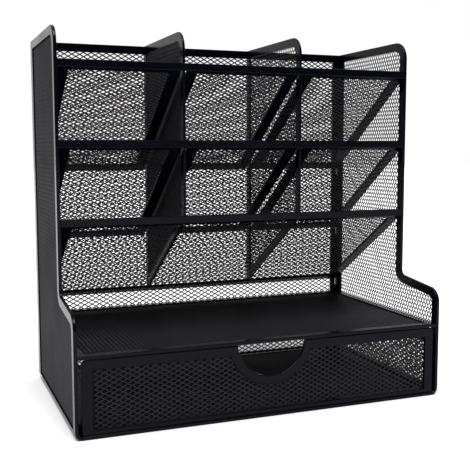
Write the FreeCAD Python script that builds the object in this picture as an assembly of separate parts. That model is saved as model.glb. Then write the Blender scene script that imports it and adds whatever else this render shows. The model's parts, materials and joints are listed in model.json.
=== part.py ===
"""Pen stand with drawer: expanded-metal panels bound in folded sheet-steel strips.

Axes: +X to the right, +Y to the back, +Z up; the origin is at the middle of the footprint, on the
resting plane. Every node is written to parts/NODE.step in millimetres at real size.

The stand is a U-shaped wrap (two stepped sides and a base joined by small bends), closed by a back
panel, with a shelf over the drawer bay, two upright dividers and three slanted pocket panels, which
together make nine pockets. A tray-shaped drawer slides out of the bay along -Y.
"""

import os

import FreeCAD
import Part
from math import cos, sqrt, tan

# ---- driving dimensions (mm) -------------------------------------------------------------------
WIDTH = 255.0  # overall, across both side panels
DEPTH = 148.0  # overall, at the base
HEIGHT = 250.0  # overall, top edge of the sides, back and dividers
UPPER_DEPTH = 101.0  # depth of the tall part of the sides
STEP_BACK_Z = 79.5  # height of the sides' step where it leaves the tall part
STEP_FRONT_Z = 74.5  # height of the step at the front
TOP_FRONT_R = 13.0  # rounded top-front corner of sides and dividers
STEP_INNER_R = 4.0  # hollow corner of the step
STEP_OUTER_R = 10.0  # rounded front corner of the step
BEND_R = 5.0  # outer radius of the bend between side and base

SIDE_T = 2.2  # thickness of the bound edges of the wrap, back and shelf
INNER_T = 1.6  # thickness of the bound edges of dividers and pocket panels
DRAWER_T = 2.0  # thickness of the bound edges of the drawer's walls
MESH_T = 0.7  # thickness of the expanded metal
# The diamonds are drawn coarse: about four times the size of the real ones, and as open.
CELL_LONG = 24.0  # aimed at, from one opening to the next along a row
CELL_SHORT = 13.4  # aimed at, from one opening to the next above it
CELL_BOND = 6.5  # metal between two openings of a row
CELL_WEB = 3.2  # metal between two openings above one another
CELL_EDGE = 1.2  # least metal between an opening and the edge of its sheet
STRIP = 6.0  # usual width of a bound edge
REAR_STRIP = 8.0  # width of the sides' rear edge
EDGE_R = 0.5  # rolled edge of the bound strips

SHELF_TOP_Z = 51.0
SHELF_SIDE_STRIP = 5.0
BACK_SIDE_STRIP = 5.0
BASE_SIDE_STRIP = 4.0
BACK_BOTTOM_Z = 42.5  # the back panel stops just below the shelf; the bay is open at the back

DIVIDER_X = 42.5  # dividers stand at +-this distance from the middle
SLOT = 4.4  # slot between neighbouring pocket panes, through which a divider passes

RIM_DROP = 21.7  # top edge down to the top of the uppermost pocket rim
RIM_H = 5.0  # height of a pocket rim
POCKET_DROP = 67.5  # fall of a pocket panel from rim to back
LOW_DROP = 61.5  # the same for the lowest pocket panel, which is a little flatter
HEEL_CLEAR = 10.5  # shelf to the lower edge of the lowest pocket panel
PANE_OUTER_STRIP = 7.5  # pane strip next to a side panel
PANE_INNER_STRIP = 7.6  # pane strip next to a divider
PANE_TOP_STRIP = 2.0
SLIT_W = 1.3  # slits at the back panel's outer edges, for the pocket hooks
SLIT_BELOW = 6.0  # how far a slit runs on below its hook
HOOK_PLAY = 0.1  # hook to the sides of its slit, and to the ends of its pane
HOOK_SHORT = 0.2  # hook's tip to the back panel's rear face

DRAWER_GAP_SIDE = 2.2  # drawer to side panel
DRAWER_GAP_TOP = 0.4  # drawer front to shelf
DRAWER_GAP_BASE = 0.3  # drawer to base
DRAWER_GAP_BACK = 0.4  # drawer to back panel
DRAWER_SETBACK = 0.4  # drawer front behind the base's front edge
DRAWER_WALL_TOP_Z = 42.0
DRAWER_CORNER_R = 3.0
DRAWER_LOW_R = 1.2  # rounding along the bottom, clear of the bends of the wrap
DRAWER_SIDE_STRIP = 6.4
DRAWER_TOP_STRIP = 6.0
DRAWER_HEM = 2.4  # narrow hem along the bottom of the drawer's front and back
DRAWER_RIM_STRIP = 5.0  # along the top of the drawer's walls and back
DRAWER_END_STRIP = 5.0  # at the ends of the drawer's walls
DRAWER_LOW_STRIP = 3.0  # along the bottom of the drawer's walls
DRAWER_BACK_STRIP = 4.0  # at the ends of the drawer's back
FLOOR_T = 1.6
NOTCH_R = 23.7  # half-moon finger notch
NOTCH_Z = 50.6  # height of the notch's centre
NOTCH_BAND = 5.4  # band round the notch
TRAVEL = 110.0  # drawer travel from closed to its stops
STOP_GAP = 0.3
EAR_W = 4.0  # ears on the drawer's rear corners
EAR_GAP = 1.8  # ears to shelf
LUG_W = 3.0  # lugs under the shelf that the ears meet
LUG_LAP = 2.0  # height over which ear and lug meet
LUG_IN = 0.2  # inner edge of the shelf's side strip to a lug

# ---- derived positions -------------------------------------------------------------------------
HALF_W = WIDTH / 2
INNER_X = HALF_W - SIDE_T  # inner face of a side panel
Y_FRONT = -DEPTH / 2
Y_BACK = DEPTH / 2
Y_UPPER = Y_BACK - UPPER_DEPTH  # front edge of the tall part
Y_PANEL = Y_BACK - SIDE_T  # front face of the back panel
Y_POCKET = Y_UPPER + INNER_T  # rear face of the pocket rims
SHELF_BOTTOM_Z = SHELF_TOP_Z - SIDE_T
RIM_TOP_Z = HEIGHT - RIM_DROP
LAST_LOW = SHELF_TOP_Z + HEEL_CLEAR + LOW_DROP  # underside of the lowest pocket rim
ROW_PITCH = (RIM_TOP_Z - RIM_H - LAST_LOW) / 2  # height from one pocket rim to the next
ROWS = ["top", "middle", "bottom"]
DROPS = [POCKET_DROP, POCKET_DROP, LOW_DROP]
SLOPES = [drop / (Y_PANEL - Y_POCKET) for drop in DROPS]
SIDES = [("left", -1), ("right", 1)]

ALONG_X, ALONG_Y, ALONG_Z = FreeCAD.Vector(1, 0, 0), FreeCAD.Vector(0, 1, 0), FreeCAD.Vector(0, 0, 1)

os.makedirs("parts", exist_ok=True)


def upright(thickness, slope):
    """Thickness of a slanted plate, measured straight up."""
    return thickness * sqrt(1 + slope * slope)


# ---- helpers -----------------------------------------------------------------------------------
def save(name, shape):
    """Write one node; a list of solids becomes one compound."""
    if isinstance(shape, list):
        shape = shape[0] if len(shape) == 1 else Part.makeCompound(shape)
    shape.exportStep("parts/" + name + ".step")


def box(x0, x1, y0, y1, z0, z1):
    """A box from its limits, given in either order."""
    x0, x1 = sorted((x0, x1))
    y0, y1 = sorted((y0, y1))
    z0, z1 = sorted((z0, z1))
    return Part.makeBox(x1 - x0, y1 - y0, z1 - z0, FreeCAD.Vector(x0, y0, z0))


def outline(points, radii):
    """A closed wire through points, each corner rounded by its radius (0 keeps it sharp)."""
    count = len(points)
    starts, ends, arcs = [], [], []
    for i in range(count):
        corner = points[i]
        back = (points[i - 1] - corner).normalize()
        ahead = (points[(i + 1) % count] - corner).normalize()
        if radii[i] <= 0:
            starts.append(corner)
            ends.append(corner)
            arcs.append(None)
            continue
        half = back.getAngle(ahead) / 2
        reach = radii[i] / tan(half)
        middle = (back + ahead).normalize() * (radii[i] / sqrt(1 - cos(half) ** 2) - radii[i])
        starts.append(corner + back * reach)
        ends.append(corner + ahead * reach)
        arcs.append(corner + middle)
    edges = []
    for i in range(count):
        if arcs[i] is not None:
            edges.append(Part.Arc(starts[i], arcs[i], ends[i]).toShape())
        following = starts[(i + 1) % count]
        if ends[i].distanceToPoint(following) > 1e-6:
            edges.append(Part.makeLine(ends[i], following))
    return Part.Wire(edges)


def slab_yz(points, radii, x0, x1):
    """A flat plate from an outline given as (y, z) corners, between two values of x."""
    x0, x1 = sorted((x0, x1))
    corners = [FreeCAD.Vector(x0, y, z) for y, z in points]
    return Part.Face(outline(corners, radii)).extrude(FreeCAD.Vector(x1 - x0, 0, 0))


def slab_xz(points, radii, y0, y1):
    """A flat plate from an outline given as (x, z) corners, between two values of y."""
    corners = [FreeCAD.Vector(x, y0, z) for x, z in points]
    return Part.Face(outline(corners, radii)).extrude(FreeCAD.Vector(0, y1 - y0, 0))


def inset(points, widths):
    """Corners of the outline moved inwards; widths[i] belongs to the edge from corner i to i + 1."""
    count = len(points)
    area = sum(points[i][0] * points[(i + 1) % count][1] - points[(i + 1) % count][0] * points[i][1]
               for i in range(count))
    turn = 1.0 if area > 0 else -1.0
    lines = []
    for i in range(count):
        (ax, ay), (bx, by) = points[i], points[(i + 1) % count]
        length = sqrt((bx - ax) ** 2 + (by - ay) ** 2)
        dx, dy = (bx - ax) / length, (by - ay) / length
        lines.append((ax - dy * widths[i] * turn, ay + dx * widths[i] * turn, dx, dy))
    moved = []
    for i in range(count):
        px, py, pdx, pdy = lines[i - 1]
        qx, qy, qdx, qdy = lines[i]
        t = ((qx - px) * qdy - (qy - py) * qdx) / (pdx * qdy - pdy * qdx)
        moved.append((px + pdx * t, py + pdy * t))
    return moved


def rolled(solid, keep):
    """Round the edges for which keep(edge) holds, as on a strip folded over the mesh."""
    chosen = [edge for edge in solid.Edges if keep(edge)]
    return solid.makeFillet(EDGE_R, chosen)


def flat_in(edge, axis, values):
    """True if the edge lies in one of the planes axis = value."""
    b = edge.BoundBox
    low, high = {"x": (b.XMin, b.XMax), "y": (b.YMin, b.YMax), "z": (b.ZMin, b.ZMax)}[axis]
    return any(abs(low - v) < 1e-4 and abs(high - v) < 1e-4 for v in values)


def expanded(sheet, along):
    """A flat sheet with rows of diamond openings cut through it; along is their long way."""
    front, rear = sorted(sheet.Faces, key=lambda face: face.Area)[-2:]
    through = rear.CenterOfMass - front.CenterOfMass
    normal = front.normalAt(0, 0)
    across = normal.cross(along)
    corners = [vertex.Point for vertex in front.Vertexes]
    level = corners[0].dot(normal)

    def at(u, v):
        return along * u + across * v + normal * level

    u0, u1 = min(c.dot(along) for c in corners), max(c.dot(along) for c in corners)
    v0, v1 = min(c.dot(across) for c in corners), max(c.dot(across) for c in corners)
    columns = max(1, round((u1 - u0) / CELL_LONG))
    rows = max(1, round((v1 - v0) / CELL_SHORT))
    long_way, short_way = (u1 - u0) / columns, (v1 - v0) / rows
    reach_u, reach_v = (long_way - CELL_BOND) / 2, (short_way - CELL_WEB) / 2
    holes = []
    for row in range(2 * rows - 1):
        odd = row % 2  # every second row is moved on by half an opening
        v = v0 + short_way * (row + 1) / 2
        for column in range(columns - odd):
            u = u0 + long_way * (column + (1 + odd) / 2)
            # the corners run clockwise, against the sheet's own outline
            ring = [at(u + reach_u, v), at(u, v - reach_v), at(u - reach_u, v), at(u, v + reach_v)]
            hole = Part.makePolygon(ring + ring[:1])
            if front.isInside(at(u, v), 1e-3, True) and hole.distToShape(front.OuterWire)[0] > CELL_EDGE:
                holes.append(hole)
    return Part.Face([front.OuterWire] + holes).extrude(through)


def ring_box(x0, x1, y0, y1, z0, z1, normal, strips):
    """A rectangular frame and the panel inside it. strips gives the widths at the low and high ends
    of the two directions across normal, in X, Y, Z order."""
    low, high = [x0, y0, z0], [x1, y1, z1]
    in_low, in_high = list(low), list(high)
    across = [i for i in range(3) if i != "xyz".index(normal)]
    for i, axis in enumerate(across):
        in_low[axis] += strips[2 * i]
        in_high[axis] -= strips[2 * i + 1]
    n = "xyz".index(normal)
    plate = box(low[0], high[0], low[1], high[1], low[2], high[2])
    frame = plate.cut(box(in_low[0], in_high[0], in_low[1], in_high[1], in_low[2], in_high[2]))
    middle = (low[n] + high[n]) / 2
    in_low[n], in_high[n] = middle - MESH_T / 2, middle + MESH_T / 2
    mesh = box(in_low[0], in_high[0], in_low[1], in_high[1], in_low[2], in_high[2])
    return frame, expanded(mesh, ALONG_Y if normal == "x" else ALONG_X)


# ---- wrap: two stepped sides and the base ------------------------------------------------------
side_points = [(Y_BACK, BEND_R), (Y_BACK, HEIGHT), (Y_UPPER, HEIGHT), (Y_UPPER, STEP_BACK_Z),
               (Y_FRONT, STEP_FRONT_Z), (Y_FRONT, BEND_R)]
side_radii = [0, 0, TOP_FRONT_R, STEP_INNER_R, STEP_OUTER_R, 0]
# strip widths: rear, top, upper front, step, lower front; the mesh runs down to the bend
side_strips = [REAR_STRIP, STRIP, STRIP, STRIP, STRIP, 0]
hole_points = inset(side_points, side_strips)
hole_radii = [0, 0, TOP_FRONT_R - STRIP, STEP_INNER_R + STRIP, STEP_OUTER_R - STRIP, 0]


def on_side_edge(edge, wires):
    """True for an edge that runs round the top, front and step of a side, or down the bend's front."""
    b = edge.BoundBox
    if flat_in(edge, "y", [Y_FRONT]) and b.ZMin < BEND_R - 1e-3 and b.ZMax > SIDE_T + 1e-3:
        return True
    if flat_in(edge, "y", [Y_BACK]) or flat_in(edge, "z", [BEND_R]):
        return False
    middle = Part.Vertex(edge.valueAt((edge.FirstParameter + edge.LastParameter) / 2))
    return any(wire.distToShape(middle)[0] < 1e-4 for wire in wires)


for side, sign in SIDES:
    outer, inner = sign * HALF_W, sign * INNER_X
    ring = slab_yz(side_points, side_radii, outer, inner).cut(
        slab_yz(hole_points, hole_radii, outer, inner))
    # the bend: a quarter tube along the whole depth, and the strip it leaves above it
    centre = FreeCAD.Vector(sign * (HALF_W - BEND_R), Y_FRONT, BEND_R)
    along = FreeCAD.Vector(0, 1, 0)
    tube = Part.makeCylinder(BEND_R, DEPTH, centre, along).cut(
        Part.makeCylinder(BEND_R - SIDE_T, DEPTH, centre, along))
    bend = tube.common(box(sign * (HALF_W - BEND_R), outer, Y_FRONT, Y_BACK, 0, BEND_R))
    frame = ring.fuse(bend).removeSplitter()
    wires = [outline([FreeCAD.Vector(x, y, z) for y, z in side_points], side_radii)
             for x in (outer, inner)]
    frame = rolled(frame, lambda e: on_side_edge(e, wires))
    middle = sign * (HALF_W - SIDE_T / 2)
    save("side_frame_" + side, frame)
    sheet = slab_yz(hole_points, hole_radii, middle - MESH_T / 2, middle + MESH_T / 2)
    save("side_mesh_" + side, expanded(sheet, ALONG_Z))

base_x = HALF_W - BEND_R
base_frame, base_mesh = ring_box(-base_x, base_x, Y_FRONT, Y_BACK, 0, SIDE_T, "z",
                                 [BASE_SIDE_STRIP, BASE_SIDE_STRIP, STRIP, STRIP])
base_frame = rolled(base_frame, lambda e: flat_in(e, "y", [Y_FRONT]) and e.Length > WIDTH / 2)
save("base_frame", base_frame)
save("base_mesh", base_mesh)

# ---- back panel, with slits for the pocket hooks -----------------------------------------------
back_frame, back_mesh = ring_box(-INNER_X, INNER_X, Y_PANEL, Y_BACK, BACK_BOTTOM_Z, HEIGHT, "y",
                                 [BACK_SIDE_STRIP, BACK_SIDE_STRIP, STRIP, STRIP])
hooks = []
for index, row in enumerate(ROWS):
    heel = RIM_TOP_Z - RIM_H - ROW_PITCH * index - DROPS[index]  # lower edge of the pane at the back
    pane_dz = upright(INNER_T, SLOPES[index])
    for side, sign in SIDES:
        back_frame = back_frame.cut(box(sign * INNER_X, sign * (INNER_X - SLIT_W), Y_PANEL, Y_BACK,
                                        heel - SLIT_BELOW, heel + pane_dz + 2 * HOOK_PLAY))
        hooks.append(box(sign * (INNER_X - HOOK_PLAY), sign * (INNER_X - SLIT_W + HOOK_PLAY), Y_PANEL,
                         Y_BACK - HOOK_SHORT, heel + HOOK_PLAY, heel + pane_dz - HOOK_PLAY))
back_frame = rolled(back_frame, lambda e: flat_in(e, "z", [HEIGHT]) and e.Length > WIDTH / 2)
save("back_frame", back_frame)
save("back_mesh", back_mesh)
save("pocket_hooks", hooks)

# ---- shelf over the drawer bay -----------------------------------------------------------------
shelf_frame, shelf_mesh = ring_box(-INNER_X, INNER_X, Y_FRONT, Y_PANEL, SHELF_BOTTOM_Z, SHELF_TOP_Z, "z",
                                   [SHELF_SIDE_STRIP, SHELF_SIDE_STRIP, STRIP, STRIP])
shelf_frame = rolled(shelf_frame, lambda e: flat_in(e, "y", [Y_FRONT]) and e.Length > WIDTH / 2)
save("shelf_frame", shelf_frame)
save("shelf_mesh", shelf_mesh)


# ---- slanted pocket panels ---------------------------------------------------------------------
def slant(x0, x1, y0, y1, low, slope, dz):
    """A slanted plate: its underside is at height low behind the rim and falls to the back."""
    at = [(y, low - slope * (y - Y_POCKET)) for y in (y0, y1)]
    points = [at[0], at[1], (y1, at[1][1] + dz), (y0, at[0][1] + dz)]
    return slab_yz(points, [0, 0, 0, 0], x0, x1)


# the two upper rows leave slots for the dividers; the bottom row is one pane that carries them
slotted = [(-INNER_X, -DIVIDER_X - SLOT / 2, PANE_OUTER_STRIP, PANE_INNER_STRIP),
           (-DIVIDER_X + SLOT / 2, DIVIDER_X - SLOT / 2, PANE_INNER_STRIP, PANE_INNER_STRIP),
           (DIVIDER_X + SLOT / 2, INNER_X, PANE_INNER_STRIP, PANE_OUTER_STRIP)]
whole = [(-INNER_X, INNER_X, PANE_OUTER_STRIP, PANE_OUTER_STRIP)]
columns = [slotted, slotted, whole]
for index, row in enumerate(ROWS):
    slope = SLOPES[index]
    pane_dz, mesh_dz = upright(INNER_T, slope), upright(MESH_T, slope)
    window_y = (Y_POCKET + PANE_TOP_STRIP, Y_PANEL - STRIP / upright(1, slope))
    rim_top = RIM_TOP_Z - ROW_PITCH * index
    rim_low = rim_top - RIM_H
    rim = box(-INNER_X, INNER_X, Y_UPPER, Y_POCKET, rim_low, rim_top)
    rim = rolled(rim, lambda e: flat_in(e, "y", [Y_UPPER]) and e.Length > WIDTH / 2)
    panes, meshes = [], []
    for x0, x1, strip0, strip1 in columns[index]:
        plate = slant(x0, x1, Y_POCKET, Y_PANEL, rim_low, slope, pane_dz)
        window = slant(x0 + strip0, x1 - strip1, *window_y, rim_low - 1, slope, pane_dz + 2)
        panes.append(plate.cut(window))
        sheet = slant(x0 + strip0, x1 - strip1, *window_y, rim_low + (pane_dz - mesh_dz) / 2, slope,
                      mesh_dz)
        meshes.append(expanded(sheet, ALONG_X))
    save("pocket_rim_" + row, rim)
    save("pocket_frame_" + row, panes)
    save("pocket_mesh_" + row, meshes)

# ---- dividers: upright, standing on the bottom pocket panel ------------------------------------
divider_low = LAST_LOW + upright(INNER_T, SLOPES[-1])  # front lower corner, on top of the pane
divider_points = [(Y_PANEL, divider_low - LOW_DROP), (Y_PANEL, HEIGHT), (Y_POCKET, HEIGHT),
                  (Y_POCKET, divider_low)]
divider_radii = [0, 0, TOP_FRONT_R, 0]
web_points = inset(divider_points, [STRIP] * 4)
web_radii = [0, 0, TOP_FRONT_R - STRIP, 0]


def on_divider_edge(edge, wires):
    """True for an edge that runs round the top or front of a divider."""
    middle = edge.valueAt((edge.FirstParameter + edge.LastParameter) / 2)
    if middle.y > Y_PANEL - 1e-3 or flat_in(edge, "z", [divider_low]):
        return False
    if middle.z < LAST_LOW and edge.BoundBox.YLength > STRIP:
        return False  # the slanted lower edge, which stands on the pane
    point = Part.Vertex(middle)
    return any(wire.distToShape(point)[0] < 1e-4 for wire in wires)


for side, sign in SIDES:
    x = sign * DIVIDER_X
    frame = slab_yz(divider_points, divider_radii, x - INNER_T / 2, x + INNER_T / 2).cut(
        slab_yz(web_points, web_radii, x - INNER_T, x + INNER_T))
    wires = [outline([FreeCAD.Vector(at, y, z) for y, z in divider_points], divider_radii)
             for at in (x - INNER_T / 2, x + INNER_T / 2)]
    frame = rolled(frame, lambda e: on_divider_edge(e, wires))
    save("divider_frame_" + side, frame)
    sheet = slab_yz(web_points, web_radii, x - MESH_T / 2, x + MESH_T / 2)
    save("divider_mesh_" + side, expanded(sheet, ALONG_Z))

# ---- drawer ------------------------------------------------------------------------------------
half_d = INNER_X - DRAWER_GAP_SIDE
front_y = Y_FRONT + DRAWER_SETBACK
wall_y = front_y + DRAWER_T  # rear face of the drawer front
rear_y = Y_PANEL - DRAWER_GAP_BACK  # rear face of the drawer
low_z = SIDE_T + DRAWER_GAP_BASE
high_z = SHELF_BOTTOM_Z - DRAWER_GAP_TOP

front_points = [(-half_d, low_z), (half_d, low_z), (half_d, high_z), (-half_d, high_z)]
field = (half_d - DRAWER_SIDE_STRIP, low_z + DRAWER_HEM, high_z - DRAWER_TOP_STRIP)
field_points = [(-field[0], field[1]), (field[0], field[1]), (field[0], field[2]), (-field[0], field[2])]
notch_axis = FreeCAD.Vector(0, 1, 0)


def disc(radius, y0, y1):
    """A round slug about the notch's centre."""
    return Part.makeCylinder(radius, y1 - y0, FreeCAD.Vector(0, y0, NOTCH_Z), notch_axis)


plate = slab_xz(front_points, [DRAWER_LOW_R, DRAWER_LOW_R, DRAWER_CORNER_R, DRAWER_CORNER_R],
                front_y, wall_y)
field_cut = slab_xz(field_points, [0] * 4, front_y - 1, wall_y + 1).cut(
    disc(NOTCH_R + NOTCH_BAND, front_y - 2, wall_y + 2))
front_frame = plate.cut(field_cut).cut(disc(NOTCH_R, front_y - 1, wall_y + 1))
mid_y = (front_y + wall_y) / 2
front_mesh = slab_xz(field_points, [0] * 4, mid_y - MESH_T / 2, mid_y + MESH_T / 2).cut(
    disc(NOTCH_R + NOTCH_BAND, front_y, wall_y))
front_frame = rolled(front_frame, lambda e: flat_in(e, "y", [front_y]) and (
    e.BoundBox.ZMax > high_z - DRAWER_TOP_STRIP + 0.5 or e.BoundBox.XMax > half_d - 0.01
    or e.BoundBox.XMin < -half_d + 0.01))
save("drawer_front_frame", front_frame)
save("drawer_front_mesh", expanded(front_mesh, ALONG_X))

inner_d = half_d - DRAWER_T
back_y = rear_y - DRAWER_T  # front face of the drawer's back wall
for side, sign in SIDES:
    x0, x1 = sorted((sign * half_d, sign * inner_d))
    frame, mesh = ring_box(x0, x1, wall_y, rear_y, low_z, DRAWER_WALL_TOP_Z, "x",
                           [DRAWER_END_STRIP, DRAWER_END_STRIP, DRAWER_LOW_STRIP, DRAWER_RIM_STRIP])
    frame = frame.makeFillet(DRAWER_LOW_R, [e for e in frame.Edges if flat_in(e, "x", [sign * half_d])
                                            and flat_in(e, "z", [low_z])])
    frame = rolled(frame, lambda e: flat_in(e, "z", [DRAWER_WALL_TOP_Z]) and e.Length > DEPTH / 2)
    save("drawer_wall_frame_" + side, frame)
    save("drawer_wall_mesh_" + side, mesh)
frame, mesh = ring_box(-inner_d, inner_d, back_y, rear_y, low_z, DRAWER_WALL_TOP_Z, "y",
                       [DRAWER_BACK_STRIP, DRAWER_BACK_STRIP, DRAWER_HEM, DRAWER_RIM_STRIP])
save("drawer_back_frame", frame)
save("drawer_back_mesh", mesh)
frame, mesh = ring_box(-inner_d, inner_d, wall_y, back_y, low_z, low_z + FLOOR_T, "z",
                       [STRIP, STRIP, STRIP, STRIP])
save("drawer_floor_frame", frame)
save("drawer_floor_mesh", mesh)

# ---- stops: ears on the drawer's rear corners meet lugs under the shelf -------------------------
ear_z = SHELF_BOTTOM_Z - EAR_GAP
ears = [box(sign * (half_d - EAR_W), sign * half_d, back_y, rear_y, DRAWER_WALL_TOP_Z, ear_z)
        for side, sign in SIDES]
lug_y = back_y - TRAVEL - STOP_GAP
lug_x = INNER_X - SHELF_SIDE_STRIP + LUG_IN
lugs = [box(sign * lug_x, sign * (lug_x + LUG_W), lug_y - INNER_T, lug_y, ear_z - LUG_LAP, SHELF_BOTTOM_Z)
        for side, sign in SIDES]
save("drawer_stops", ears)
save("shelf_stops", lugs)
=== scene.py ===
# %% [markdown]
# # A desktop pen stand made of expanded metal
#
# The real object is bent and welded from thin steel. Large panels of expanded metal, which is sheet
# that was slit and then stretched until every slit opened into a diamond, are bound along their
# edges with folded strips, and everything is powder coated black.
#
# The exact solids arrive as a fixed frame. The strips in it have the right shape, so they stay and
# only get a finish. Each expanded panel is a thin sheet with a few coarse openings there, so this
# lesson weaves real diamonds in its place.

# %% Load the frame
import json
from math import radians

import bmesh
import bpy
from mathutils import Matrix, Vector


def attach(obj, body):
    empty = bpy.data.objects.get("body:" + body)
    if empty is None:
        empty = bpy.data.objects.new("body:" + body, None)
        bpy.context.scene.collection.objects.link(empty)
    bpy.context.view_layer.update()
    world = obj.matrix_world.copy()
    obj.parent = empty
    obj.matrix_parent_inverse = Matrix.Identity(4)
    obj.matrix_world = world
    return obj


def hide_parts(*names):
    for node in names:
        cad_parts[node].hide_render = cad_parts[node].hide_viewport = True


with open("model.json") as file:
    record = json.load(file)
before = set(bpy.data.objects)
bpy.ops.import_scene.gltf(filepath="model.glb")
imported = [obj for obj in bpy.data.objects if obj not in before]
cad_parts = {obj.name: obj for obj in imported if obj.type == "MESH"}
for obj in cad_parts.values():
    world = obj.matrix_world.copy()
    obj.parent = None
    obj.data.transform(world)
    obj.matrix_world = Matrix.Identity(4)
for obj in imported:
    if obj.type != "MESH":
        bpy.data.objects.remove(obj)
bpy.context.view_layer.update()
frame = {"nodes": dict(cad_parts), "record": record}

scene = bpy.context.scene
MM_PER_M = 1000  # Blender and the frame count in metres, a metalworker in millimetres

# %% [markdown]
# ## Colours
#
# A paint chart gives a colour as an sRGB hex value, and that is also how the eye compares two blacks.
# Shaders add up light and need linear values. They could be typed in as they are, but nobody can
# read them, so every colour stays in the chart's form and one function translates it.

# %% Turn a chart colour into light
def linear(hex_colour):
    """Turn "#rrggbb" into the linear RGBA that shaders expect, by the sRGB standard's curve."""
    channels = [int(hex_colour[i:i + 2], 16) / 255 for i in (1, 3, 5)]
    return [c / 12.92 if c <= 0.04045 else ((c + 0.055) / 1.055) ** 2.4 for c in channels] + [1.0]


print("share of light that the grey #808080 sends back:", round(linear("#808080")[0], 3))

# %% [markdown]
# ## Nodes
#
# The finish and the diamonds are both trees of nodes. They could be wired by hand in the editor. In
# a script they can be read from top to bottom, and a changed size rebuilds them. One function adds
# any node to any tree with its settings and its links, so each node takes a line or two.

# %% Add a node to a tree
def add(tree, kind, inputs=None, **settings):
    """Add one node. inputs maps a socket's name or number to a value, or to a node or output."""
    node = tree.nodes.new(kind)
    for name, value in settings.items():
        setattr(node, name, value)
    for key, value in (inputs or {}).items():
        source = value.outputs[0] if isinstance(value, bpy.types.Node) else value
        if isinstance(source, bpy.types.NodeSocket):
            tree.links.new(source, node.inputs[key])
        else:
            node.inputs[key].default_value = source
    return node


print("nodes in the frame that wait for a finish:", len(frame["nodes"]))

# %% [markdown]
# ## Powder coat
#
# Powder coat is polyester powder baked into a skin about 0.07 mm thick. It is a dielectric, not a
# metal: a dark body under a clear surface that reflects little when it faces the eye and a lot when
# it is seen edge on. That is why the outer strips of the stand look grey at a shallow angle although
# the paint is black. The skin shrinks as it cures and leaves a faint ripple, called orange peel.
#
# The ripple could be modelled, but it would cost millions of faces for a depth that no outline
# shows. So a fine noise tilts the surface for the light only. A second, slow noise lets the gloss
# and the tone drift over a panel, because powder never lies quite evenly.

# %% Make a powder coat
COAT_IOR = 1.5  # clear polyester
PEEL_MM = 1.6  # real orange peel is about 0.8 mm across; drawn twice as coarse so that it shows
PEEL_DEPTH_MM = 0.2  # height of the ripple at full strength; each coat uses a share of it
CLOUD_MM = 35.0  # slow change of gloss over a panel, from uneven powder
CLOUD_LOW, CLOUD_HIGH = 0.35, 0.65  # most of the noise lies between these
GLOSS_DRIFT = 0.05  # how far the roughness wanders to each side


def powder_coat(name, tones, roughness, ripple, shine):
    """A satin powder coat: body colour, a roughness that drifts a little, and orange peel."""
    material = bpy.data.materials.new(name)
    material.use_nodes = True
    tree = material.node_tree
    tree.nodes.clear()
    place = add(tree, "ShaderNodeTexCoord").outputs["Object"]
    cloud = add(tree, "ShaderNodeTexNoise",
                {"Vector": place, "Scale": MM_PER_M / CLOUD_MM, "Detail": 3.0}).outputs["Fac"]
    gloss = add(tree, "ShaderNodeMapRange",
                {"Value": cloud, "From Min": CLOUD_LOW, "From Max": CLOUD_HIGH,
                 "To Min": roughness - GLOSS_DRIFT, "To Max": roughness + GLOSS_DRIFT})
    tone = add(tree, "ShaderNodeMixRGB",
               {"Fac": cloud, "Color1": linear(tones[0]), "Color2": linear(tones[1])})
    peel = add(tree, "ShaderNodeTexNoise",
               {"Vector": place, "Scale": MM_PER_M / PEEL_MM, "Detail": 1.0}).outputs["Fac"]
    bump = add(tree, "ShaderNodeBump",
               {"Height": peel, "Strength": ripple, "Distance": PEEL_DEPTH_MM / MM_PER_M})
    shader = add(tree, "ShaderNodeBsdfPrincipled",
                 {"Base Color": tone, "Roughness": gloss, "Normal": bump, "IOR": COAT_IOR,
                  "Specular IOR Level": shine})
    add(tree, "ShaderNodeOutputMaterial", {"Surface": shader})
    return material


print("orange peel in mm:", PEEL_MM, "- clouds in mm:", CLOUD_MM)

# %% [markdown]
# ## Two coats, one colour
#
# Strips and strands hang in the same oven and get the same blue-black powder. On a smooth folded
# strip it melts into an even, glossier skin. On a sheared and twisted strand it lies rougher, so its
# glints are duller but broader. Roughness runs from 0, a mirror, to 1, chalk, and both coats lie in
# the glossier half. One material could do for both, but then either the strips look dusty or the
# mesh looks wet, so each has a coat of its own.

# %% Paint the stand
BLUE_BLACK = ("#080815", "#0c0d1a")  # the two tones that the coat drifts between
STRIP_COAT = powder_coat("Black_powder_coat_on_folded_steel", BLUE_BLACK,
                         roughness=0.16, ripple=0.25, shine=0.2)
STRAND_COAT = powder_coat("Black_powder_coat_on_expanded_steel", BLUE_BLACK,
                          roughness=0.40, ripple=0.15, shine=0.44)

for node in frame["nodes"].values():
    node.data.materials.clear()
    node.data.materials.append(STRIP_COAT)
print("nodes painted:", len(frame["nodes"]))

# %% [markdown]
# ## Expanded metal
#
# A press slits the sheet in staggered rows and pulls it open. Each opening is a diamond, long way
# across and short way up and down; the strands between the diamonds twist as they are pulled, so one
# edge of every opening stands a little proud and the other sinks back.
#
# A flat sheet with a see-through pattern of diamonds would be the light way to make this. It has no
# thickness and no twist, though, and on this stand the eye looks through almost every panel at a
# slant, where both decide how much light comes through. So every strand is modelled. They are all
# alike, which is work for Geometry Nodes: one tree weaves any panel, and its sizes are named inputs.

# %% Start the tree with its sizes
LONG_WAY = 5.75  # mm between the middles of neighbouring openings, along a row
SHORT_WAY = 3.2  # mm from one opening to the next straight above it
STRAND = 0.75  # mm, width of a strand
BOND = 1.55  # mm, length of the solid knuckle where strands meet
GAUGE = 0.34  # mm, thickness of the steel with its coat
TWIST = 0.21  # mm by which an opening's edges stand proud and sink
OVERLAP = 0.4  # share of half a cell by which a ring's middle may lie beyond the sheet's edge

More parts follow.
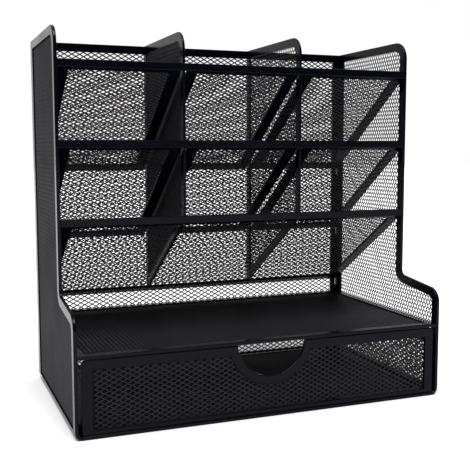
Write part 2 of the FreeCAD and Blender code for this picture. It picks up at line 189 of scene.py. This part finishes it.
weaving = bpy.data.node_groups.new("Expanded metal", "GeometryNodeTree")
weaving.interface.new_socket("Sheet", in_out="INPUT", socket_type="NodeSocketGeometry")
for name, size in (("Long way", LONG_WAY), ("Short way", SHORT_WAY), ("Strand", STRAND),
                   ("Bond", BOND), ("Gauge", GAUGE), ("Twist", TWIST), ("Overlap", OVERLAP)):
    socket = weaving.interface.new_socket(name, in_out="INPUT", socket_type="NodeSocketFloat")
    socket.default_value = size
for name in ("Columns", "Rows"):
    socket = weaving.interface.new_socket(name, in_out="INPUT", socket_type="NodeSocketInt")
    socket.default_value = 3  # until a panel asks for more
weaving.interface.new_socket("Metal", in_out="INPUT", socket_type="NodeSocketMaterial")
weaving.interface.new_socket("Panel", in_out="OUTPUT", socket_type="NodeSocketGeometry")
given = add(weaving, "NodeGroupInput").outputs
print("inputs of the tree:", [socket.name for socket in given if socket.name])

# %% [markdown]
# ## The size of one cell
#
# One cell is a diamond ring. Its outer corners lie on the middle of the strands, its inner corners
# are the opening. A strand's width is measured square across it, and a strand runs at a slant, so
# straight up and down it measures more, by the diamond's side over half the long way. Sideways the
# opening ends where the knuckle begins. The corners could be typed in, but worked out they stay
# right when a size changes.

# %% Work out a cell and its opening
cell = add(weaving, "ShaderNodeCombineXYZ", {"X": given["Long way"], "Y": given["Short way"]})
half_cell = add(weaving, "ShaderNodeVectorMath", {0: cell, "Scale": 0.5}, operation="SCALE")
side = add(weaving, "ShaderNodeVectorMath", {0: half_cell}, operation="LENGTH").outputs["Value"]
half_bond = add(weaving, "ShaderNodeMath", {0: given["Bond"], 1: 0.5}, operation="MULTIPLY")
slant = add(weaving, "ShaderNodeMath", {0: given["Strand"], 1: side}, operation="MULTIPLY")
half_strand = add(weaving, "ShaderNodeMath", {0: slant, 1: given["Long way"]}, operation="DIVIDE")
metal = add(weaving, "ShaderNodeCombineXYZ", {"X": half_bond, "Y": half_strand})
opening = add(weaving, "ShaderNodeVectorMath", {0: half_cell, 1: metal}, operation="SUBTRACT")
print("cell in mm:", LONG_WAY, "x", SHORT_WAY)

# %% [markdown]
# ## One ring
#
# The ring could be cut from a block with a boolean, which is slow and leaves stray points. Here a
# circle of four points is its outline, and the outline's edges are extruded three times: inwards
# over the front, through the thickness, and outwards again at the back. Every point remembers the
# corner that it came from, one unit from the middle, so corner times reach places it at every
# stage. The opening's lower corner is raised and its upper corner sunk: that is the twist.

# %% Pull the outline into a ring
circle = add(weaving, "GeometryNodeMeshCircle", {"Vertices": 4, "Radius": 1.0})
ring = add(weaving, "GeometryNodeStoreNamedAttribute",
           {"Geometry": circle, "Name": "corner", "Value": add(weaving, "GeometryNodeInputPosition")},
           data_type="FLOAT_VECTOR")
corner = add(weaving, "GeometryNodeInputNamedAttribute", {"Name": "corner"},
             data_type="FLOAT_VECTOR").outputs["Attribute"]
corner_up = add(weaving, "ShaderNodeSeparateXYZ", {0: corner}).outputs["Y"]
sink = add(weaving, "ShaderNodeMath", {0: given["Twist"], 1: corner_up}, operation="MULTIPLY")
front = add(weaving, "ShaderNodeMath", {0: given["Gauge"], 1: 0.5}, operation="MULTIPLY")
back = add(weaving, "ShaderNodeMath", {0: given["Gauge"], 1: -0.5}, operation="MULTIPLY")
front_sunk = add(weaving, "ShaderNodeMath", {0: front, 1: sink}, operation="SUBTRACT")
back_sunk = add(weaving, "ShaderNodeMath", {0: back, 1: sink}, operation="SUBTRACT")

stages = ((half_cell, front), (opening, front_sunk), (opening, back_sunk), (half_cell, back))
newest = True  # at first every edge is new
for stage, (reach, height) in enumerate(stages):
    if stage:
        pulled = add(weaving, "GeometryNodeExtrudeMesh",
                     {"Mesh": ring, "Selection": newest, "Offset Scale": 0.0}, mode="EDGES")
        ring, newest = pulled.outputs["Mesh"], pulled.outputs["Top"]
    raised = add(weaving, "ShaderNodeCombineXYZ", {"Z": height})
    spot = add(weaving, "ShaderNodeVectorMath", {0: corner, 1: reach, 2: raised},
               operation="MULTIPLY_ADD")
    ring = add(weaving, "GeometryNodeSetPosition",
               {"Geometry": ring, "Selection": newest, "Position": spot})
print("stages of a ring:", len(stages))

# %% [markdown]
# ## The lattice
#
# The press moves the sheet on by one row and sideways by half a cell, then strikes again. So odd
# rows are shifted by half a long way, and rows follow each other at half a short way. Two array
# modifiers would give straight columns only. Points that work out their row and column from their
# number can be shifted row by row.

# %% Lay out the middles of the cells
half = add(weaving, "ShaderNodeSeparateXYZ", {0: half_cell}).outputs
number = add(weaving, "GeometryNodeInputIndex")
rows_done = add(weaving, "ShaderNodeMath", {0: number, 1: given["Columns"]}, operation="DIVIDE")
row = add(weaving, "ShaderNodeMath", {0: rows_done}, operation="FLOOR")
row_start = add(weaving, "ShaderNodeMath", {0: row, 1: given["Columns"]}, operation="MULTIPLY")
column = add(weaving, "ShaderNodeMath", {0: number, 1: row_start}, operation="SUBTRACT")
odd = add(weaving, "ShaderNodeMath", {0: row, 1: 2.0}, operation="MODULO")
shift = add(weaving, "ShaderNodeMath", {0: odd, 1: half["X"]}, operation="MULTIPLY")

counted = add(weaving, "ShaderNodeCombineXYZ", {"X": column, "Y": row})
amounts = add(weaving, "ShaderNodeCombineXYZ", {"X": given["Columns"], "Y": given["Rows"]})
last = add(weaving, "ShaderNodeVectorMath", {0: amounts, 1: (1.0, 1.0, 0.0)}, operation="SUBTRACT")
centre = add(weaving, "ShaderNodeVectorMath", {0: last, "Scale": 0.5}, operation="SCALE")
from_centre = add(weaving, "ShaderNodeVectorMath", {0: counted, 1: centre}, operation="SUBTRACT")
stride = add(weaving, "ShaderNodeCombineXYZ", {"X": given["Long way"], "Y": half["Y"]})
sideways = add(weaving, "ShaderNodeCombineXYZ", {"X": shift})
middle = add(weaving, "ShaderNodeVectorMath", {0: from_centre, 1: stride, 2: sideways},
             operation="MULTIPLY_ADD")
total = add(weaving, "ShaderNodeMath", {0: given["Columns"], 1: given["Rows"]}, operation="MULTIPLY")
points = add(weaving, "GeometryNodePoints", {"Count": total, "Position": middle})
print("nodes so far:", len(weaving.nodes))

# %% [markdown]
# ## Cutting the lattice to the sheet
#
# A worker shears the panel out of a large sheet and folds the strip over the cut. A boolean would
# shear it exactly, at the price of many slivers that the strip hides anyway. It is enough to keep
# the cells whose middle lies on the sheet or just beyond it. The distance is measured in half cells,
# so that the same share counts sideways and upwards.

# %% Keep the cells on the sheet
squeeze = add(weaving, "ShaderNodeVectorMath", {0: (1.0, 1.0, 0.0), 1: half_cell}, operation="DIVIDE")
small_sheet = add(weaving, "GeometryNodeTransform", {"Geometry": given["Sheet"], "Scale": squeeze})
here = add(weaving, "ShaderNodeVectorMath",
           {0: add(weaving, "GeometryNodeInputPosition"), 1: squeeze}, operation="MULTIPLY")
away = add(weaving, "GeometryNodeProximity", {0: small_sheet, "Sample Position": here},
           target_element="FACES").outputs["Distance"]
outside = add(weaving, "ShaderNodeMath", {0: away, 1: given["Overlap"]}, operation="GREATER_THAN")
kept = add(weaving, "GeometryNodeDeleteGeometry", {"Geometry": points, "Selection": outside},
           domain="POINT")
print("a ring's middle may lie beyond the sheet by", round(OVERLAP * LONG_WAY / 2, 2), "mm sideways")

# %% [markdown]
# ## Merging the rings and closing the cut
#
# An instance is only a reference to the ring. Made real and merged where they touch, the rings are
# one continuous sheet, which is still open between front and back along its cut. A Solidify modifier
# on a flat lattice would close it by itself, but give no twist. Here each front edge with a face on
# one side only is pulled straight back through the thickness until it meets the rear face. The pull
# needs a linked offset: left free, the node follows each edge's own normal. Realize Instances and
# Set Material end the tree, because the export drops instances and new faces have no coat yet.

# %% Weave, close and paint
SAME_POINT = 0.02  # mm; points nearer than this are one point
placed = add(weaving, "GeometryNodeInstanceOnPoints", {"Points": kept, "Instance": ring})
real = add(weaving, "GeometryNodeRealizeInstances", {0: placed})
merged = add(weaving, "GeometryNodeMergeByDistance", {"Geometry": real, "Distance": SAME_POINT})
faces_beside = add(weaving, "GeometryNodeInputMeshEdgeNeighbors")
single = add(weaving, "FunctionNodeCompare", {2: faces_beside, 3: 1},
             data_type="INT", operation="EQUAL")
depth = add(weaving, "ShaderNodeSeparateXYZ", {0: add(weaving, "GeometryNodeInputPosition")})
in_front = add(weaving, "ShaderNodeMath", {0: depth.outputs["Z"], 1: 0.0}, operation="GREATER_THAN")
cut = add(weaving, "FunctionNodeBooleanMath", {0: single, 1: in_front}, operation="AND")
backwards = add(weaving, "ShaderNodeCombineXYZ", {"Z": -1.0})
closed = add(weaving, "GeometryNodeExtrudeMesh",
             {"Mesh": merged, "Selection": cut, "Offset": backwards, "Offset Scale": given["Gauge"]},
             mode="EDGES")
sealed = add(weaving, "GeometryNodeMergeByDistance", {"Geometry": closed, "Distance": SAME_POINT})
clean = add(weaving, "GeometryNodeRemoveAttribute", {"Geometry": sealed, "Name": "corner"})
whole = add(weaving, "GeometryNodeRealizeInstances", {0: clean})
painted = add(weaving, "GeometryNodeSetMaterial", {"Geometry": whole, "Material": given["Metal"]})
add(weaving, "NodeGroupOutput", {0: painted})
print("nodes in the weaving tree:", len(weaving.nodes))

# %% [markdown]
# ## Laying a panel flat
#
# The tree works on a flat sheet in millimetres, but the panels stand, lie and slope. Each could get
# a tree of its own; it is simpler to find one matrix per panel that leads from the flat sheet to its
# place, and to use it backwards first. A panel faces the way that most of its area does. The long
# way of the diamonds runs across the stand on the panels that face front, back or up, and along the
# drawer's walls. The sides and the dividers were cut from the sheet the other way round, so there it
# stands upright.

# %% Measure a sheet
def ends(sheet, axis):
    """The lowest and the highest coordinate of a mesh along one axis."""
    values = [vertex.co[axis] for vertex in sheet.vertices]
    return min(values), max(values)


shelf = frame["nodes"]["shelf_mesh"].data
print("shelf from left to right in mm:", [round(MM_PER_M * end, 1) for end in ends(shelf, 0)])

# %% Find the way from flat to place
LEVEL = 0.01  # a direction that rises less than this counts as level
SIDEWAYS = 0.5  # a face whose normal points more than this to a side is a wall of the drawer


def flat_place(sheet, upright):
    """The matrix from flat millimetres to the sheet's own place in metres."""
    facings = {}
    for face in sheet.polygons:
        key = tuple(round(part, 2) for part in face.normal)
        facings.setdefault(key, []).append(face)
    largest = max(facings.values(), key=lambda faces: sum(face.area for face in faces))
    facing = largest[0].normal.copy()
    if upright:
        along = Vector((0, 0, 1))
    else:
        along = Vector((0, 1, 0)) if abs(facing.x) > SIDEWAYS else Vector((1, 0, 0))
    # across the long way, up the panel, or to the back where the panel lies level
    across = facing.cross(along).normalized()
    if across.z < -LEVEL or (abs(across.z) < LEVEL and across.y < 0):
        across.negate()
    turn = Matrix((along, across, along.cross(across))).transposed().to_4x4()
    middle = Vector([sum(ends(sheet, axis)) / 2 for axis in range(3)])
    return Matrix.Translation(middle) @ turn @ Matrix.Scale(1 / MM_PER_M, 4)


shelf_middle = flat_place(shelf, upright=False).translation
print("middle of the shelf in mm:", [round(MM_PER_M * part, 1) for part in shelf_middle])

# %% [markdown]
# ## Filling the coarse openings
#
# The frame's sheets have coarse diamonds of their own, and only their outline is wanted. It could be
# drawn again from sizes, but then a change of the frame would leave it behind. Keeping only the
# sheet's upper face and filling every closed line of open edges in it leaves just that.

# %% Keep a sheet's outline
TOUCHING = 0.001  # mm; the frame's triangles meet to within this
FACES_UP = 0.9  # a face whose normal rises more than this looks up


def fill_openings(sheet):
    """Keep the upper face of a flat sheet and fill its coarse openings, so its outline is left."""
    work = bmesh.new()
    work.from_mesh(sheet)
    bmesh.ops.remove_doubles(work, verts=work.verts, dist=TOUCHING)
    other_faces = [face for face in work.faces if face.normal.z < FACES_UP]
    bmesh.ops.delete(work, geom=other_faces, context="FACES")
    open_edges = [edge for edge in work.edges if edge.is_boundary]
    bmesh.ops.holes_fill(work, edges=open_edges, sides=0)  # 0 fills holes of any size
    work.to_mesh(sheet)
    work.free()


print("panels to weave:", sum("_mesh" in name for name in frame["nodes"]))

# %% [markdown]
# ## Running the tree on a flat sheet
#
# A modifier carries the tree. Left live, it would be worked out again at every change of the scene,
# so its result becomes a plain mesh at once and the draft is thrown away. An odd number of columns
# and rows keeps the diamonds centred: the panel's very middle is an opening or a knuckle.

# %% Weave a flat sheet
SPARE = 2  # cells on each side beyond the sheet, so the lattice surely covers it


def weave_flat(sheet, lean):
    """Expanded metal over a flat sheet in millimetres; lean scales the twist of the strands."""
    left, right = ends(sheet, 0)
    low, high = ends(sheet, 1)
    wanted = {"Columns": 2 * int((right - left) / LONG_WAY / 2 + SPARE) + 1,
              "Rows": 2 * int((high - low) / SHORT_WAY + SPARE) + 1,
              "Twist": TWIST * lean, "Metal": STRAND_COAT}
    draft = bpy.data.objects.new("draft", sheet)
    scene.collection.objects.link(draft)
    loom = draft.modifiers.new("weave", "NODES")
    loom.node_group = weaving
    for socket in weaving.interface.items_tree:
        if socket.in_out == "INPUT" and socket.name in wanted:
            loom[socket.identifier] = wanted[socket.name]
    evaluated = draft.evaluated_get(bpy.context.evaluated_depsgraph_get())
    woven = bpy.data.meshes.new_from_object(evaluated)
    bpy.data.objects.remove(draft)
    return woven


print("one opening every", round(LONG_WAY * SHORT_WAY / 2, 1), "square mm")

# %% [markdown]
# ## Putting a woven panel in place
#
# The woven mesh goes back through the same matrix. Faces that come from pulled edges may look
# inwards, so all normals are worked out again. Then the piece takes the place of the frame's sheet:
# the sheet is hidden and the piece rides on its body. All panels could be joined into one
# piece, but then the drawer couldn't slide out. The open edges are counted, because a panel that is
# closed all round has none.

# %% Replace one panel
def weave_panel(node_name, piece_name, body, upright, lean):
    """Replace a CAD sheet by expanded metal of the same outline."""
    sheet = frame["nodes"][node_name].data.copy()
    place = flat_place(sheet, upright)
    sheet.transform(place.inverted())
    fill_openings(sheet)
    woven = weave_flat(sheet, lean)
    bpy.data.meshes.remove(sheet)
    woven.transform(place)
    work = bmesh.new()
    work.from_mesh(woven)
    bmesh.ops.recalc_face_normals(work, faces=work.faces)
    open_edges = sum(edge.is_boundary for edge in work.edges)
    work.to_mesh(woven)
    work.free()
    piece = bpy.data.objects.new(piece_name, woven)
    scene.collection.objects.link(piece)
    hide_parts(node_name)
    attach(piece, body)
    print(f"{piece_name}: {2 * len(woven.polygons)} triangles, {open_edges} open edges")


print("coat of the strands:", STRAND_COAT.name)

# %% [markdown]
# ## All panels
#
# How far a strand leans, and to which side, decides how much light comes through at a slant. The
# base and the two sides are one folded sheet: on all three the front edge of every opening leans
# outwards. The eye meets the left side from outside and the right side from inside, so the left
# looks closed and the right open. Both sides are laid flat facing left, so the lean is mirrored for
# the right one, and in the same way for the base and the right divider. On the left side the strands
# stand more proud, on the shelf they lie a little flatter. One lean for all would be simpler, but
# then both sides would look alike.

# %% Weave all panels
LEANS = {"side_mesh_left": 1.35, "side_mesh_right": -1.0, "base_mesh": -1.0,
         "divider_mesh_right": -1.0, "shelf_mesh": 0.8}  # times TWIST; below zero it is mirrored
UPRIGHT = ("side_", "divider_")  # panels on which the long way stands upright

for body, nodes in frame["record"]["behaviour"]["bodies"].items():
    for name in nodes:
        if "_mesh" in name:
            weave_panel(name, name.replace("mesh", "expanded_metal"), body,
                        upright=name.startswith(UPRIGHT), lean=LEANS.get(name, 1.0))

# %% [markdown]
# ## Floor
#
# A studio stands such a piece on a wide roll of matt white paper. A coloured table would tint the
# paint, and black paint shows it at once. Pressed cotton and wood fibres have almost no gloss and
# scatter light evenly, apart from a slight mottling where they lie thicker. The fibres needn't be
# modelled: two whites that a noise mixes are enough.

# %% Make matt paper
PAPER_WHITES = ("#e6e6e6", "#eaeaea")  # the two whites of its mottling
MOTTLE_MM = 2.5  # real paper mottles at about a millimetre; coarser here so that it shows
PAPER_ROUGHNESS = 0.9  # close to fully matt


def matt_paper():
    """White paper without gloss, slightly mottled."""
    material = bpy.data.materials.new("Matt_white_paper")
    material.use_nodes = True
    tree = material.node_tree
    tree.nodes.clear()
    place = add(tree, "ShaderNodeTexCoord").outputs["Object"]
    mottle = add(tree, "ShaderNodeTexNoise",
                 {"Vector": place, "Scale": MM_PER_M / MOTTLE_MM, "Detail": 2.0}).outputs["Fac"]
    white = add(tree, "ShaderNodeMixRGB",
                {"Fac": mottle, "Color1": linear(PAPER_WHITES[0]), "Color2": linear(PAPER_WHITES[1])})
    shader = add(tree, "ShaderNodeBsdfPrincipled",
                 {"Base Color": white, "Roughness": PAPER_ROUGHNESS, "Specular IOR Level": 0.0})
    add(tree, "ShaderNodeOutputMaterial", {"Surface": shader})
    return material


print("paper mottling in mm:", MOTTLE_MM)

# %% [markdown]
# ## Laying the paper
#
# The roll would curve up behind the stand. The room around is white anyway, so a flat sheet whose
# edges lie far away looks the same. It is the stage and not part of the stand.

# %% Lay the paper
PAPER_REACH = 6.0  # m from the middle to each edge

floor_mesh = bpy.data.meshes.new("floor")
work = bmesh.new()
bmesh.ops.create_grid(work, x_segments=2, y_segments=2, size=PAPER_REACH)
work.to_mesh(floor_mesh)
work.free()
floor = bpy.data.objects.new("floor", floor_mesh)
floor.data.materials.append(matt_paper())
scene.collection.objects.link(floor)
print("paper in m:", [round(length, 2) for length in floor.dimensions])

# %% [markdown]
# ## The white room
#
# Black paint shows almost nothing but reflections, so the room around it models the strips. It is
# bright behind, beside and above the stand and dark behind the camera, and a strip turns from grey
# to black with the direction that it mirrors. Lit cards could stand around the stand instead; a
# background that fades from back to front does the same and casts no stray shadow. Seen directly,
# it is plain white.

# %% Paint the room
BACK_WALL = 0.95  # brightness of the room behind, beside and above the stand
FRONT_WALL = 0.05  # brightness of its dark end, behind the camera
WALL_STARTS, WALL_ENDS = -0.6, 0.0  # how far forward (-1) or back (+1) dark turns to bright
WHITE = (1.0, 1.0, 1.0, 1.0)

world = bpy.data.worlds.new("white_room")
world.use_nodes = True
air = world.node_tree
air.nodes.clear()
toward = add(air, "ShaderNodeSeparateXYZ", {0: add(air, "ShaderNodeTexCoord").outputs["Generated"]})
wall = add(air, "ShaderNodeMapRange",
           {"Value": toward.outputs["Y"], "From Min": WALL_STARTS, "From Max": WALL_ENDS,
            "To Min": FRONT_WALL, "To Max": BACK_WALL})
seen = add(air, "ShaderNodeLightPath").outputs["Is Camera Ray"]
strength = add(air, "ShaderNodeMix", {0: seen, 2: wall, 3: 1.0}, data_type="FLOAT")
room = add(air, "ShaderNodeBackground", {"Color": WHITE, "Strength": strength})
add(air, "ShaderNodeOutputWorld", {"Surface": room})
scene.world = world
print("room:", FRONT_WALL, "in front,", BACK_WALL, "behind")

# %% [markdown]
# ## The soft light overhead
#
# A large softbox hangs above and in front of the stand, a little to the viewer's side. So the stand's
# shadow falls behind it, where it greys the paper that is seen through the lowest meshes and leaves
# the paper around the stand white. An area lamp would fade over the length of the stand; a sun with
# a wide disc gives the same soft edges and lights front and back alike.

# %% Hang the light
SUN_TILT = 21.0  # degrees from straight overhead, towards the front
SUN_TURN = -16.0  # degrees round the stand, towards the viewer's side
SUN_SPREAD = 40.0  # degrees; a wide disc gives soft shadows
SUN_STRENGTH = 3.4  # watts per square metre

softbox = bpy.data.lights.new("ceiling_light", "SUN")
softbox.energy = SUN_STRENGTH
softbox.angle = radians(SUN_SPREAD)
lamp = bpy.data.objects.new("ceiling_light", softbox)
lamp.rotation_euler = (radians(SUN_TILT), 0.0, radians(SUN_TURN))
scene.collection.objects.link(lamp)
print("light:", SUN_STRENGTH, "W per square metre, a disc of", SUN_SPREAD, "degrees")

# %% [markdown]
# ## Camera
#
# The eye is in front of the stand and to its left, higher than the shelf and lower than the top
# edge, so it looks down on the shelf and straight at the pockets. A lens somewhat longer than a
# normal one keeps the uprights nearly parallel. A camera can be dragged into place by eye, but one
# that is set by numbers shows the same view at every run. Blender's usual view transform would turn
# white paper grey, so the plain one is used, with a curve that deepens the blacks as a print does.

# %% Place the camera
LENS_MM, SENSOR_MM = 62.34, 36.0  # a normal lens would be 50 mm on this sensor
EYE_PLACE = (-0.21044, -0.5421, 0.173)  # m to the left, in front and above the paper
EYE_TILT = 83.9  # degrees; 90 would look level, less looks down
EYE_ROLL = 0.03  # degrees
EYE_TURN = -21.52  # degrees; below zero turns to the right
CURVE = 0.84  # gamma of the view; below 1 deepens the blacks

eye = bpy.data.cameras.new("camera")
eye.lens = LENS_MM
eye.sensor_width = SENSOR_MM
camera = bpy.data.objects.new("camera", eye)
camera.location = EYE_PLACE
camera.rotation_euler = (radians(EYE_TILT), radians(EYE_ROLL), radians(EYE_TURN))
scene.collection.objects.link(camera)
scene.camera = camera
scene.view_settings.view_transform = "Standard"
scene.view_settings.gamma = CURVE
print("camera in m from the middle of the foot:", round(camera.location.length, 3))
